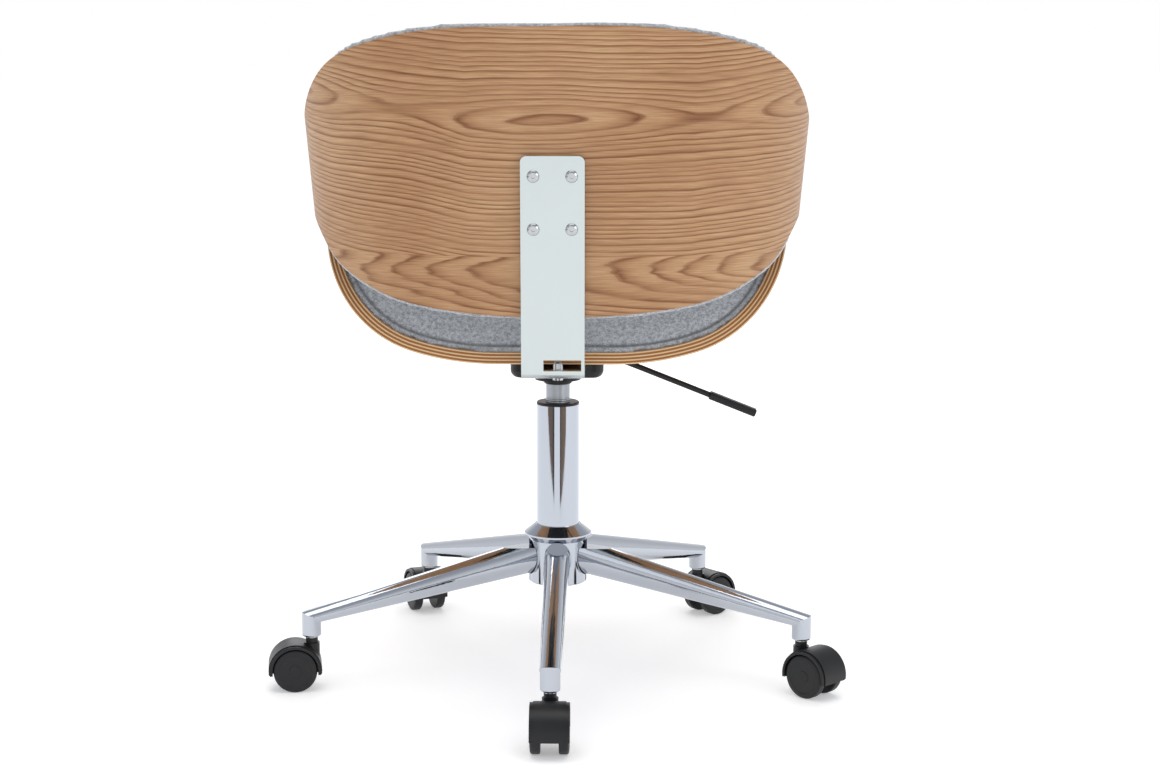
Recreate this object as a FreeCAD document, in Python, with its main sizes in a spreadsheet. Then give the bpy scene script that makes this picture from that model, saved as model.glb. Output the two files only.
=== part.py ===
"""Low-back swivel chair on a five-star caster base.

A bent ash-veneer back shell and seat shell, both padded, ride on a gas lift with a height lever.
Frame: +Z up, the sitter faces -Y, the origin is on the floor under the lift column. Millimetres.
"""
import FreeCAD, Part
import math
import os
import re
import Sketcher

doc = FreeCAD.newDocument("swivel_chair")
V = FreeCAD.Vector

# ---------------------------------------------------------------- driving dimensions
SIZES = [
    # base
    ("leg_count", 5, "legs of the star"),
    ("base_turn", 0.3, "star turned about the column, degrees, towards +X"),
    ("stem_circle", 295.7, "radius from the column to a caster stem"),
    ("hub_radius", 34.3, "outer radius of the hub"),
    ("hub_bottom", 106.5, "underside of the hub"),
    ("hub_top", 176, "top of the hub's bevel"),
    ("flange_radius", 39.6, "largest radius of the bevelled flange"),
    ("flange_height", 10, "height of the bevel"),
    ("leg_seat", 29, "radius at which a leg ends inside the hub"),
    ("leg_root_width", 31, "leg tube across, at the hub"),
    ("leg_root_height", 41, "leg tube high, at the hub"),
    ("leg_root_mid", 139, "height of the leg's middle, at the hub"),
    ("leg_tip_width", 23.0, "leg tube across, at the socket"),
    ("leg_tip_height", 17.5, "leg tube high, at the socket"),
    ("leg_tip_mid", 84.5, "height of the leg's middle, at the socket"),
    ("leg_gap", 1.2, "recess round each leg in the hub"),
    ("socket_radius", 11, "outer radius of a caster socket"),
    ("socket_rim", 2.2, "rounding under a caster socket"),
    ("socket_bottom", 62, "underside of a caster socket"),
    ("sleeve_radius", 8, "outer radius of the sleeve in a socket"),
    ("sleeve_depth", 26, "length of the sleeve"),
    # casters
    ("stem_radius", 5.5, "caster stem in its sleeve"),
    ("pin_radius", 4, "lower end of the stem, in the hood"),
    ("pin_length", 26, "how far the stem reaches into the hood"),
    ("stem_collar_radius", 6.6, "collar between stem and hood"),
    ("stem_collar", 1.6, "height of the collar"),
    ("wheel_radius", 25, "rolling radius"),
    ("wheel_width", 11.4, "one wheel"),
    ("caster_width", 42.4, "over both wheels"),
    ("caster_trail", 19.6, "axle behind the stem"),
    ("hood_gap", 1.3, "air between wheel and hood"),
    ("hood_wall", 3.2, "hood rim"),
    ("hood_band_width", 35, "raised band over the hood"),
    ("hood_band", 1.1, "height of the raised band"),
    ("hood_skirt", 18.5, "height where the hood's rim ends"),
    ("web_bottom", 20.5, "height where the hood's middle ends"),
    ("neck_radius", 6.9, "neck of the hood"),
    ("axle_radius", 3, "caster axle"),
    # gas lift
    ("tube_radius", 25, "outer tube"),
    ("tube_wall", 2, "wall of the outer tube"),
    ("tube_top", 318.5, "top of the outer tube"),
    ("tube_floor", 4, "closed bottom of the outer tube"),
    ("bush_lip", 3, "visible rim of the guide bush"),
    ("bush_length", 60, "guide bush inside the tube"),
    ("cylinder_radius", 14, "gas cylinder"),
    ("cylinder_wall", 2, "wall of the gas cylinder"),
    ("rod_radius", 5, "piston rod"),
    ("lift_stroke", 100, "height adjustment"),
    ("taper_length", 28, "cylinder's tapered end in its socket"),
    ("taper_drop", 1.4, "radius lost along the taper"),
    ("release_radius", 4, "release pin on top of the cylinder"),
    ("release_height", 6, "how far the release pin stands out"),
    ("ball_radius", 2, "balls of the thrust bearing"),
    ("ball_circle", 11, "radius of the ring of balls"),
    ("race_radius", 15, "thrust washers"),
    ("race_thick", 1, "thrust washers"),
    # mechanism
    ("plate_top", 394.5, "top of the seat plate, under the seat shell"),
    ("plate_thick", 3, "seat plate"),
    ("plate_width", 170, "seat plate across"),
    ("plate_front", -105, "front edge of the seat plate"),
    ("plate_rear", 130, "rear edge of the seat plate"),
    ("plate_bolt_x", 65, "seat bolts from the middle"),
    ("plate_bolt_front", -85, "front pair of seat bolts"),
    ("plate_bolt_rear", 55, "rear pair of seat bolts"),
    ("pan_width", 107, "mechanism pan across"),
    ("pan_length", 118, "mechanism pan front to back"),
    ("pan_bottom", 357, "underside of the pan"),
    ("pan_wall", 2.5, "wall of the pan"),
    ("pan_corner", 14, "upright corners of the pan"),
    ("pan_edge", 9, "rounding under the pan"),
    ("plate_corner", 12, "corners of the seat plate"),
    ("boss_radius", 27, "step under the pan"),
    ("boss_bottom", 348, "underside of the step"),
    ("taper_socket_radius", 16.5, "taper socket"),
    ("taper_socket_bottom", 343, "underside of the taper socket"),
    ("bolt_radius", 3, "M6 fastener"),
    # lever
    ("lever_radius", 3.3, "lever rod"),
    ("lever_height", 372, "axis of the rod inside the pan"),
    ("lever_pivot", 30, "pivot from the column"),
    ("lever_bend", 70, "where the rod bends down"),
    ("lever_reach", 231, "tip of the lever from the column"),
    ("lever_gap", 0.7, "air between release pin and lever at rest"),
    ("pivot_radius", 1.5, "pivot pin of the lever"),
    ("ear_width", 24, "lever bracket across both ears"),
    ("ear_length", 10, "lever bracket along the lever"),
    ("lever_slope", 21.6, "fall of the outer rod, degrees"),
    ("lever_swing", 5, "travel of the lever, degrees"),
    ("grip_length", 58, "paddle grip"),
    ("grip_width", 16, "paddle grip across"),
    ("grip_thick", 9, "paddle grip"),
    # bracket
    ("bar_width", 67, "back bracket across"),
    ("bar_thick", 6, "back bracket"),
    ("bar_top", 622.5, "top of the back bracket"),
    ("bar_bend", 9, "outer radius of the bend"),
    ("bar_front", 72, "front end of the bracket under the plate"),
    ("bar_corner", 6.5, "corner radius"),
    ("window_width", 40, "window low in the bracket"),
    ("window_height", 12, "window low in the bracket"),
    ("window_side", -10, "middle of the window"),
    ("stud_side", -5, "stud behind the window"),
    ("stud_place", 220, "stud behind the column"),
    ("bar_bolt_front", 84, "front bolt through bracket and plate"),
    ("bar_bolt_rear", 112, "rear bolt through bracket and plate"),
    ("screw_spacing_x", 40, "back screws across"),
    ("screw_high", 602, "upper back screws"),
    ("screw_low", 546.5, "lower back screws"),
    ("screw_head_radius", 6.6, "back screw head"),
    ("screw_head", 3.4, "height of the head"),
    ("screw_socket", 4, "hexagon across flats"),
    ("nut_flange", 9, "radius of a tee nut's flange"),
    ("nut_barrel", 4.2, "radius of a tee nut's barrel"),
    ("nut_flange_thick", 1.2, "flange of a tee nut"),
    # shells
    ("back_half_width", 276.6, "back shell's outer half width at mid height"),
    ("back_depth", 250, "rear of the back shell from the column at mid height"),
    ("back_mid", 600, "height where the two above are measured"),
    ("back_centre_bend", 450, "plan radius across the back"),
    ("back_side_bend", 170, "plan radius at the sides"),
    ("back_lean", 5, "lean of the back shell's wall, degrees"),
    ("back_thick", 8, "back plywood"),
    ("back_top", 755, "top of the back shell"),
    ("back_low", 451.5, "lowest point of the back shell"),
    ("back_pad_thick", 22, "back padding"),
    ("back_pad_proud", 4, "padding above the plywood's edge"),
    ("seat_flat", 62, "half width of the seat's flat middle"),
    ("seat_thick", 12.5, "seat plywood"),
    ("seat_soft_bend", 330, "outer radius beside the flat"),
    ("seat_soft_turn", 16, "degrees turned by that bend"),
    ("seat_corner_bend", 150, "outer radius up into the wings"),
    ("seat_wing_angle", 84, "slope of the wings, degrees"),
    ("ply_ease", 1.2, "rounding of the seat plywood's cut edge"),
    ("seat_pad_thick", 35, "seat padding"),
    ("seat_pad_inset", 3, "padding short of the plywood's edge"),
    ("wing_clearance", 1.5, "back padding clear of the seat"),
    # fits
    ("running_gap", 0.05, "radial clearance of a pin that turns or slides"),
    ("free_gap", 0.4, "clearance between bodies that pass each other"),
]

sheet = doc.addObject("Spreadsheet::Sheet", "Sizes")
for row, (alias, number, note) in enumerate(SIZES, start=1):
    sheet.set("A%d" % row, alias)
    sheet.set("B%d" % row, str(number))
    sheet.set("C%d" % row, note)
    sheet.setAlias("B%d" % row, alias)
doc.recompute()
ALIASES = {alias for alias, _, _ in SIZES}


def bound(formula):
    """A formula over the names above, as the document reads it."""
    swap = lambda found: "Sizes." + found.group() if found.group() in ALIASES else found.group()
    return re.sub(r"[A-Za-z_]+", swap, str(formula))


def value(formula):
    """The same formula as a number. Angles are in degrees."""
    result = sheet.evalExpression(bound(formula))
    return float(getattr(result, "Value", result))


# ---------------------------------------------------------------- small helpers
kept = []


def keep(item, label):
    """Marks an object as a sub-part of the chair."""
    item.Label = label
    kept.append(item)
    return item


def primitive(kind, place=(0, 0, 0), **sizes):
    """A Part primitive with its sizes and place bound to the sheet."""
    item = doc.addObject("Part::" + kind, kind)
    for name, formula in sizes.items():
        item.setExpression(name, bound(formula))
    for axis, formula in zip("xyz", place):
        item.setExpression("Placement.Base." + axis, bound(formula))
    return item


def rod(radius, height, z, x="0", y="0"):
    """An upright cylinder from z upwards."""
    return primitive("Cylinder", (x, y, z), Radius=radius, Height=height)


def block(length, width, height, place):
    """A box centred on its place in X, with its least Y and Z there."""
    x, y, z = place
    corner = ("(%s) - (%s) / 2" % (x, length), y, z)
    return primitive("Box", corner, Length=length, Width=width, Height=height)


def cut(base, *tools):
    """base less every tool."""
    for tool in tools:
        item = doc.addObject("Part::Cut", "Cut")
        item.Base, item.Tool = base, tool
        base = item
    return base


def fuse(*items):
    """One solid of all the items."""
    item = doc.addObject("Part::MultiFuse", "Fusion")
    item.Shapes = list(items)
    return item


def group(*items):
    """Separate solids in one sub-part."""
    item = doc.addObject("Part::Compound", "Group")
    item.Links = list(items)
    return item


def origin_plane(body, role):
    """One of a body's own origin planes or axes."""
    return next(item for item in body.Origin.OriginFeatures if item.Role == role)


def outline(body, plane, points, lift="0"):
    """A closed sketch of straight runs whose corners are bound to the sheet."""
    sketch = body.newObject("Sketcher::SketchObject", "Outline")
    sketch.AttachmentSupport = (origin_plane(body, plane), [""])
    sketch.MapMode = "FlatFace"
    sketch.setExpression("AttachmentOffset.Base.z", bound(lift))
    spots = [V(value(x), value(y), 0) for x, y in points]
    count = len(spots)
    for i, spot in enumerate(spots):
        sketch.addGeometry(Part.LineSegment(spot, spots[(i + 1) % count]), False)
    for i in range(count):
        sketch.addConstraint(Sketcher.Constraint("Coincident", i, 2, (i + 1) % count, 1))
    for i, point in enumerate(points):
        for formula, kind, axis in ((point[0], "DistanceX", -2), (point[1], "DistanceY", -1)):
            number = value(formula)
            if abs(number) < 1e-9:
                sketch.addConstraint(Sketcher.Constraint("PointOnObject", i, 1, axis))
                continue
            index = sketch.addConstraint(Sketcher.Constraint(kind, -1, 1, i, 1, number))
            sketch.setExpression("Constraints[%d]" % index, bound(formula))
    return sketch


def turned(points, name="Turned"):
    """A lathe piece: a half section of (radius, height) points turned about Z."""
    body = doc.addObject("PartDesign::Body", name)
    sketch = outline(body, "XZ_Plane", points)
    solid = body.newObject("PartDesign::Revolution", "Revolution")
    solid.Profile = sketch
    solid.ReferenceAxis = (sketch, ["V_Axis"])
    solid.Angle = 360
    return body


def washer(inner, outer, z, height):
    """A flat ring."""
    top = "%s + %s" % (z, height)
    return turned([(inner, z), (outer, z), (outer, top), (inner, top)])


def slab(points, plane, length, lift="0", symmetric=True, reversed_pad=False, name="Slab"):
    """A plate or bar: an outline padded across its plane."""
    body = doc.addObject("PartDesign::Body", name)
    sketch = outline(body, plane, points, lift)
    solid = body.newObject("PartDesign::Pad", "Pad")
    solid.Profile = sketch
    solid.setExpression("Length", bound(length))
    solid.Midplane = symmetric
    solid.Reversed = reversed_pad
    return body


def dress(body, kind, radius, chosen):
    """A fillet or chamfer on the edges of the body's tip that chosen accepts."""
    doc.recompute()
    tip = body.Tip
    names = ["Edge%d" % (i + 1) for i, edge in enumerate(tip.Shape.Edges) if chosen(edge)]
    item = body.newObject("PartDesign::" + kind, kind)
    item.Base = (tip, names)
    item.setExpression("Radius" if kind == "Fillet" else "Size", bound(radius))
    body.Tip = item
    return item


def shaped(shape, label):
    """A sub-part whose shape Part's own functions made."""
    item = doc.addObject("Part::Feature", "Shaped")
    item.Shape = shape
    item.Placement = FreeCAD.Placement()
    return keep(item, label)


def turn_about_z(degrees):
    return FreeCAD.Placement(V(0, 0, 0), FreeCAD.Rotation(V(0, 0, 1), degrees))


# ---------------------------------------------------------------- star base
leg_count = int(value("leg_count"))
leg_angles = [value("base_turn") + 360.0 / leg_count * i for i in range(leg_count)]


def oval(width, height, y, z):
    """An upright oval wire across Y, taller than wide or wider than tall."""
    centre, across, up = V(0, y, z), V(width / 2, 0, 0), V(0, 0, height / 2)
    first, second = (across, up) if width > height else (up, across)
    return Part.Wire([Part.Ellipse(centre + first, centre + second, centre).toShape()])


def leg_tube(gap=0.0, past=0.0):
    """The tapered oval tube, filled, along +Y from the hub to the socket's axis and past it."""
    start, axis = value("leg_seat"), value("stem_circle")
    share = 1 + past / (axis - start)
    taper = lambda root, tip: value(root) + (value(tip) - value(root)) * share
    root = oval(value("leg_root_width") + 2 * gap, value("leg_root_height") + 2 * gap,
                start, value("leg_root_mid"))
    tip = oval(taper("leg_root_width", "leg_tip_width") + 2 * gap,
               taper("leg_root_height", "leg_tip_height") + 2 * gap,
               axis + past, taper("leg_root_mid", "leg_tip_mid"))
    return Part.makeLoft([root, tip], True, True)


def leg_shape():
    """Tube and caster socket in one, with the socket's bore."""
    y, bottom = value("stem_circle"), value("socket_bottom")
    radius, middle = value("socket_radius"), value("leg_tip_mid")
    socket = Part.makeCylinder(radius, middle - bottom, V(0, y, bottom))
    rim = [edge for edge in socket.Edges if edge.BoundBox.ZMax < bottom + 0.1]
    socket = socket.makeFillet(value("socket_rim"), rim)
    inwards = Part.makeBox(8 * radius, y, 8 * radius, V(-4 * radius, 0, bottom))
    end = Part.makeCylinder(radius, 8 * radius, V(0, y, bottom))
    tube = leg_tube(past=radius + 2).common(inwards.fuse(end))
    leg = tube.fuse(socket).removeSplitter()
    bore = Part.makeCylinder(value("sleeve_radius"), value("sleeve_depth"), V(0, y, bottom))
    return leg.cut(bore)


def make_base():
    hub = turned([("tube_radius", "hub_bottom"), ("hub_radius - 1.5", "hub_bottom"),
                  ("hub_radius", "hub_bottom + 1.5"), ("hub_radius", "hub_top - flange_height - 8"),
                  ("flange_radius", "hub_top - flange_height - 2"),
                  ("flange_radius", "hub_top - flange_height"),
                  ("tube_radius + 2", "hub_top"), ("tube_radius", "hub_top")])
    recess = leg_tube(value("leg_gap"))
    recesses = doc.addObject("Part::Feature", "Recesses")
    recesses.Shape = Part.makeCompound([recess.transformed(turn_about_z(-a).toMatrix())
                                        for a in leg_angles])
    keep(cut(hub, recesses), "star_hub")
    leg = leg_shape()
    for number, angle in enumerate(leg_angles, start=1):
        item = shaped(leg, "leg_%d" % number)
        item.Placement = turn_about_z(-angle)
    sleeves = []
    for angle in leg_angles:
        spot = ("stem_circle * sin(%s)" % angle, "stem_circle * cos(%s)" % angle)
        outer = rod("sleeve_radius", "sleeve_depth", "socket_bottom", *spot)
        inner = rod("stem_radius", "sleeve_depth", "socket_bottom", *spot)
        sleeves.append(cut(outer, inner))
    keep(group(*sleeves), "caster_sleeves")


# ---------------------------------------------------------------- gas lift
ROD_TOP = "tube_top - 4"
TUBE_BOTTOM = "hub_bottom + 4"
CYLINDER_TOP = "taper_socket_bottom + taper_length"


def make_lift():
    floor_top = TUBE_BOTTOM + " + tube_floor"
    keep(turned([("rod_radius + 1.2", TUBE_BOTTOM), ("tube_radius", TUBE_BOTTOM),
                 ("tube_radius", "tube_top"), ("tube_radius - tube_wall", "tube_top"),
                 ("tube_radius - tube_wall", floor_top), ("rod_radius + 1.2", floor_top)]),
         "outer_tube")
    keep(turned([("cylinder_radius + running_gap", "tube_top - bush_length"),
                 ("tube_radius - tube_wall", "tube_top - bush_length"),
                 ("tube_radius - tube_wall", "tube_top"), ("tube_radius", "tube_top"),
                 ("tube_radius", "tube_top + bush_lip - 0.8"),
                 ("tube_radius - 0.8", "tube_top + bush_lip"),
                 ("cylinder_radius + running_gap", "tube_top + bush_lip")]), "guide_bush")
    lower = floor_top
    keep(washer("rod_radius + 1.2", "race_radius", lower, "race_thick"), "lower_race")
    balls = []
    ball_count = 12
    for i in range(ball_count):
        angle = 360.0 / ball_count * i
        spot = ("ball_circle * cos(%s)" % angle, "ball_circle * sin(%s)" % angle,
                lower + " + race_thick + ball_radius + running_gap")
        balls.append(primitive("Sphere", spot, Radius="ball_radius"))
    keep(group(*balls), "bearing_balls")
    upper = lower + " + race_thick + 2 * ball_radius + 2 * running_gap"
    keep(washer("rod_radius", "race_radius", upper, "race_thick"), "upper_race")
    rubber = upper + " + race_thick"
    keep(turned([("rod_radius", rubber), ("10", rubber), ("11", rubber + " + 4"),
                 ("10", rubber + " + 8"), ("rod_radius", rubber + " + 8")]), "bump_rubber")
    head_low = "%s - 10" % ROD_TOP
    bore = "cylinder_radius - cylinder_wall"
    keep(turned([("0", "hub_bottom - 2"), ("rod_radius - 0.6", "hub_bottom - 2"),
                 ("rod_radius", "hub_bottom - 1.4"), ("rod_radius", head_low),
                 (bore + " - running_gap", head_low), (bore + " - running_gap", ROD_TOP),
                 ("0", ROD_TOP)]), "piston_rod")
    clip = "hub_bottom + 1.5"
    keep(washer("rod_radius", "9", clip, "1.2"), "retaining_clip")
    # the cylinder: open below for its rod guide, closed and tapered above
    start = rubber + " + 8.5"
    guide = 14
    taper_start = "taper_socket_bottom"
    keep(turned([(bore, start), ("cylinder_radius", start), ("cylinder_radius", taper_start),
                 ("cylinder_radius - taper_drop", CYLINDER_TOP),
                 ("release_radius + running_gap", CYLINDER_TOP),
                 ("release_radius + running_gap", CYLINDER_TOP + " - 12"),
                 (bore + " - 1.5", CYLINDER_TOP + " - 12"),
                 (bore + " - 1.5", taper_start + " - 6"), (bore, taper_start + " - 10")]),
         "gas_cylinder")
    keep(washer("rod_radius + running_gap", bore, start, str(guide)), "rod_guide")
    keep(turned([("0", CYLINDER_TOP + " - 9"), ("release_radius", CYLINDER_TOP + " - 9"),
                 ("release_radius", CYLINDER_TOP + " + release_height - 1"),
                 ("release_radius - 1", CYLINDER_TOP + " + release_height"),
                 ("0", CYLINDER_TOP + " + release_height")]), "release_pin")


# ---------------------------------------------------------------- casters
# the direction each caster trails in, degrees from +X towards +Y, in the legs' order
TRAILS = [90, 8.5, -68, -139, 136]


def along_x(radius, low_x, high_x, y, z):
    """A cylinder lying along X."""
    item = primitive("Cylinder", (low_x, y, z), Radius=radius, Height="(%s) - (%s)" % (high_x, low_x))
    item.Placement = FreeCAD.Placement(item.Placement.Base, FreeCAD.Rotation(V(0, 1, 0), 90))
    return item


def along_y(radius, low_y, high_y, x, z):
    """A cylinder lying along Y."""
    item = primitive("Cylinder", (x, low_y, z), Radius=radius, Height="(%s) - (%s)" % (high_y, low_y))
    item.Placement = FreeCAD.Placement(item.Placement.Base, FreeCAD.Rotation(V(1, 0, 0), -90))
    return item


def make_caster_parts():
    """One caster with its stem on Z and its wheels behind it on +Y; name: object."""
    y, z = "caster_trail", "wheel_radius"
    half = "caster_width / 2"
    web = "caster_width / 2 - wheel_width - free_gap"
    rim = "wheel_radius + hood_gap + hood_wall"
    hood_top = "wheel_radius * 2 + hood_gap + hood_wall"
    whole = along_x(rim, "-" + half, half, y, z)
    band = along_x(rim + " + hood_band", "-hood_band_width / 2", "hood_band_width / 2", y, z)
    wells = [along_x("wheel_radius + hood_gap", web, half + " + 1", y, z),
             along_x("wheel_radius + hood_gap", "-(%s) - 1" % half, "-(%s)" % web, y, z)]
    width = "caster_width + 2"
    below_rim = [block("wheel_width + 3", "4 * wheel_radius", "4 * wheel_radius",
                       ("%s(%s + wheel_width / 2 + 1.5)" % (sign, web),
                        "caster_trail - 2 * wheel_radius", "hood_skirt - 4 * wheel_radius"))
                 for sign in ("", "-")]
    below_web = block(width, "4 * wheel_radius", "4 * wheel_radius",
                      ("0", "caster_trail - 2 * wheel_radius", "web_bottom - 4 * wheel_radius"))
    boss = rod("neck_radius + 2", hood_top + " - wheel_radius", "wheel_radius")
    neck = rod("neck_radius", "socket_bottom - stem_collar - free_gap - wheel_radius", "wheel_radius")
    hood = cut(fuse(cut(fuse(whole, band), *wells), boss, neck), *below_rim, below_web)
    axle_hole = along_x("axle_radius", "-caster_width", "caster_width", y, z)
    pin_hole = rod("pin_radius + running_gap", "pin_length + 20",
                   "socket_bottom - stem_collar - pin_length - free_gap")
    hood = cut(hood, axle_hole, pin_hole)
    collar = "socket_bottom - stem_collar"
    pin_end = collar + " - pin_length"
    stem = turned([("0", pin_end), ("pin_radius - 1", pin_end), ("pin_radius", pin_end + " + 1"),
                   ("pin_radius", collar), ("stem_collar_radius", collar),
                   ("stem_collar_radius", "socket_bottom"), ("stem_radius", "socket_bottom"),
                   ("stem_radius", "socket_bottom + sleeve_depth - 5"),
                   ("stem_radius - 1.5", "socket_bottom + sleeve_depth - 3"),
                   ("0", "socket_bottom + sleeve_depth - 3")])
    reach = "caster_width / 2 - 4"
    axle = along_x("axle_radius", "-(%s)" % reach, reach, y, z)
    return {"stem": stem, "hood": hood, "axle": axle}


def make_wheel():
    """A wheel turned about Z, its outer face up, from its inner face at zero."""
    bore = "axle_radius + running_gap"
    deep = "caster_width / 2 - 4 - (caster_width / 2 - wheel_width) + free_gap"
    width = "wheel_width"
    return turned([(bore, "0"), ("wheel_radius - 1.2", "0"), ("wheel_radius", "1.2"),
                   ("wheel_radius", width + " - 3"), ("wheel_radius - 0.7", width + " - 1.4"),
                   ("wheel_radius - 2.4", width + " - 0.5"), ("wheel_radius - 6", width + " - 0.15"),
                   ("wheel_radius - 6.6", width + " - 0.6"), ("7.4", width + " - 0.6"),
                   ("7", width + " - 0.1"), ("0", width), ("0", deep), (bore, deep)])


def make_casters():
    parts = make_caster_parts()
    wheel = make_wheel()
    doc.recompute()
    circle = value("stem_circle")
    inner_face = value("caster_width / 2 - wheel_width")
    hub = V(0, value("caster_trail"), value("wheel_radius"))
    for number, (angle, trail) in enumerate(zip(leg_angles, TRAILS), start=1):
        name = "caster_%d_" % number
        place = turn_about_z(-angle).multiply(FreeCAD.Placement(V(0, circle, 0), FreeCAD.Rotation()))
        place.Rotation = FreeCAD.Rotation(V(0, 0, 1), trail - 90)
        for part_name, item in parts.items():
            shaped(Part.makeCompound([item.Shape]), name + part_name).Placement = place
        for side, way in (("left", -1), ("right", 1)):
            face = FreeCAD.Placement(hub + V(way * inner_face, 0, 0),
                                     FreeCAD.Rotation(V(0, 1, 0), way * 90))
            shaped(wheel.Shape.copy(), name + "wheel_" + side).Placement = place.multiply(face)


# ---------------------------------------------------------------- mechanism and lever
PIN_TOP = "taper_socket_bottom + taper_length + release_height"
LEVER_OVER_PIN = PIN_TOP + " + lever_radius + lever_gap"
LEVER_AT_PIVOT = ("lever_height + (lever_bend - lever_pivot) / lever_bend * (%s - lever_height)"
                  % LEVER_OVER_PIN)
PLATE_LOW = "plate_top - plate_thick"
SHELL_TOP = "plate_top + seat_thick"
PLATE_BOLTS = [(x, y) for x in ("-plate_bolt_x", "plate_bolt_x")
               for y in ("plate_bolt_front", "plate_bolt_rear")]
PLATE_BOLTS += [("0", "bar_bolt_front"), ("0", "bar_bolt_rear")]


def rectangle(half_x, low_y, high_y):
    return [("-(%s)" % half_x, low_y), (half_x, low_y), (half_x, high_y), ("-(%s)" % half_x, high_y)]


def upright(edge):
    return edge.BoundBox.ZLength > 1 and edge.BoundBox.XLength < 0.01 and edge.BoundBox.YLength < 0.01


def fastener(head_radius, head_height, shank_radius, shank_length, socket_flats):
    """A button-head screw standing on Z, its head below zero with a hexagon socket in it."""
    dome = turned([("0", "-(%s)" % head_height), (head_radius + " * 0.62", "-(%s)" % head_height),
                   (head_radius + " * 0.86", "-(%s) * 0.72" % head_height),
                   (head_radius, "-(%s) * 0.3" % head_height), (head_radius, "0"),
                   (shank_radius, "0"), (shank_radius, shank_length), ("0", shank_length)])
    hexagon = primitive("Prism", ("0", "0", "-(%s) - 0.5" % head_height), Height="2.6")
    hexagon.Polygon = 6
    hexagon.setExpression("Circumradius", bound("(%s) / 2 / cos(30)" % socket_flats))
    return cut(dome, hexagon)


def tee_nut(barrel):
    """A tee nut with its flange's top at zero and its barrel below."""
    low, flange_low = "-(%s)" % barrel, "-nut_flange_thick"
    return turned([("bolt_radius", low), ("nut_barrel", low), ("nut_barrel", flange_low),
                   ("nut_flange", flange_low), ("nut_flange", "0"), ("bolt_radius", "0")])


def nut_seat(thick):
    """The hole for a tee nut in plywood, from its outer face at zero to its inner face at thick."""
    barrel = Part.makeCylinder(value("nut_barrel"), thick + 6, V(0, 0, -3))
    flange = Part.makeCylinder(value("nut_flange"), 3, V(0, 0, thick - value("nut_flange_thick")))
    return barrel.fuse(flange)


def at_spots(item, spots, label):
    """Copies of one piece at several placements, as separate solids in one sub-part."""
    doc.recompute()
    solids = [item.Shape.transformed(spot.toMatrix(), True) for spot in spots]
    return shaped(Part.makeCompound(solids), label)


def make_mechanism():
    plate = slab(rectangle("plate_width / 2", "plate_front", "plate_rear"), "XY_Plane", "plate_thick",
                 PLATE_LOW, symmetric=False)
    dress(plate, "Fillet", "plate_corner", upright)
    holes = [rod("bolt_radius", "plate_thick + 2", PLATE_LOW + " - 1", x, y) for x, y in PLATE_BOLTS]
    keep(cut(plate, *holes), "seat_plate")

    low, depth = "pan_bottom", PLATE_LOW + " - pan_bottom"
    half_y = "pan_length / 2"
    pan = slab(rectangle("pan_width / 2", "-" + half_y, half_y), "XY_Plane", depth, low, symmetric=False)
    dress(pan, "Fillet", "pan_corner", upright)
    floor = value("pan_bottom")
    dress(pan, "Fillet", "pan_edge", lambda edge: edge.BoundBox.ZMax < floor + 0.01)
    inner = slab(rectangle("pan_width / 2 - pan_wall", "pan_wall - " + half_y, half_y + " - pan_wall"),
                 "XY_Plane", depth, low + " + pan_wall", symmetric=False)
    dress(inner, "Fillet", "pan_corner - pan_wall", upright)
    step = rod("boss_radius", "pan_bottom - boss_bottom + pan_wall", "boss_bottom")
    slot_low = "lever_height - lever_radius - 1.5"
    slot = block("4 * pan_wall", "2 * lever_radius + 2", "2 * lever_radius + 8",
                 ("-pan_width / 2", "-lever_radius - 1", slot_low))
    hole = rod("taper_socket_radius", "60", "boss_bottom - 1")
    keep(cut(fuse(cut(pan, inner), step), slot, hole), "mechanism_pan")
    top = "taper_socket_bottom + taper_length"
    keep(turned([("cylinder_radius", "taper_socket_bottom"),
                 ("taper_socket_radius - 1", "taper_socket_bottom"),
                 ("taper_socket_radius", "taper_socket_bottom + 1"), ("taper_socket_radius", top),
                 ("cylinder_radius - taper_drop", top)]), "taper_socket")

    ears_low = LEVER_AT_PIVOT + " - 5"
    ears = block("ear_length", "ear_width", "(%s) - (%s)" % (PLATE_LOW, ears_low),
                 ("-lever_pivot", "-ear_width / 2", ears_low))
    gap = block("ear_length + 2", "2 * lever_radius + 2 * free_gap", "(%s) - (%s) - 3" % (PLATE_LOW, ears_low),
                ("-lever_pivot", "-lever_radius - free_gap", ears_low + " - 0.01"))
    pin = along_y("pivot_radius", "-ear_width / 2", "ear_width / 2", "-lever_pivot", LEVER_AT_PIVOT)
    pin_hole = along_y("pivot_radius", "-ear_width", "ear_width", "-lever_pivot", LEVER_AT_PIVOT)
    keep(cut(ears, gap, pin_hole), "lever_bracket")
    keep(pin, "lever_pivot_pin")


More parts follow.
